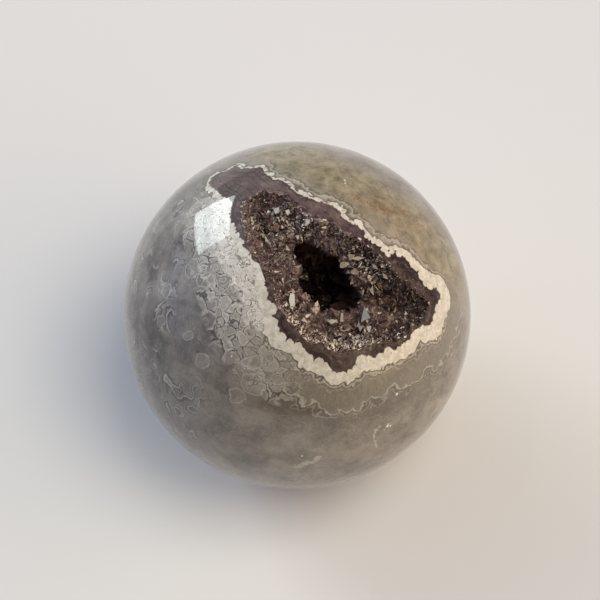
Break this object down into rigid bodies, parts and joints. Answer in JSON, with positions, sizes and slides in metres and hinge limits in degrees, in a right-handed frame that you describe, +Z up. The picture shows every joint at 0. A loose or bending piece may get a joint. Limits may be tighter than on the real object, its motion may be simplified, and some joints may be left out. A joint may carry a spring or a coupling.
{
  "type": "druzy agate sphere",
  "caption": "Polished agate ball with a natural hollow at its top, lined with a crust of dark amethyst crystals and ringed by a white band.",
  "frame": {"origin": "middle of the small flat that the ball rests on, straight under the ball's centre", "axes": "+Z up, through the hollow's mouth; the hollow's middle leans 15 degrees from +Z towards +X and -Y, and its long way runs from back left (-X, +Y) to front right (+X, -Y)"},
  "size_m": [0.06, 0.06, 0.0593],
  "materials": {
    "polished_agate": "polished to a mirror gloss, grey-beige and cloudy, with a white band round the hollow",
    "amethyst_druse": "glassy natural crystal faces, dark brown-purple"
  },
  "bodies": {
    "root": {"agate_sphere": "polished_agate", "druzy_crust": "amethyst_druse"}
  },
  "joints": []
}
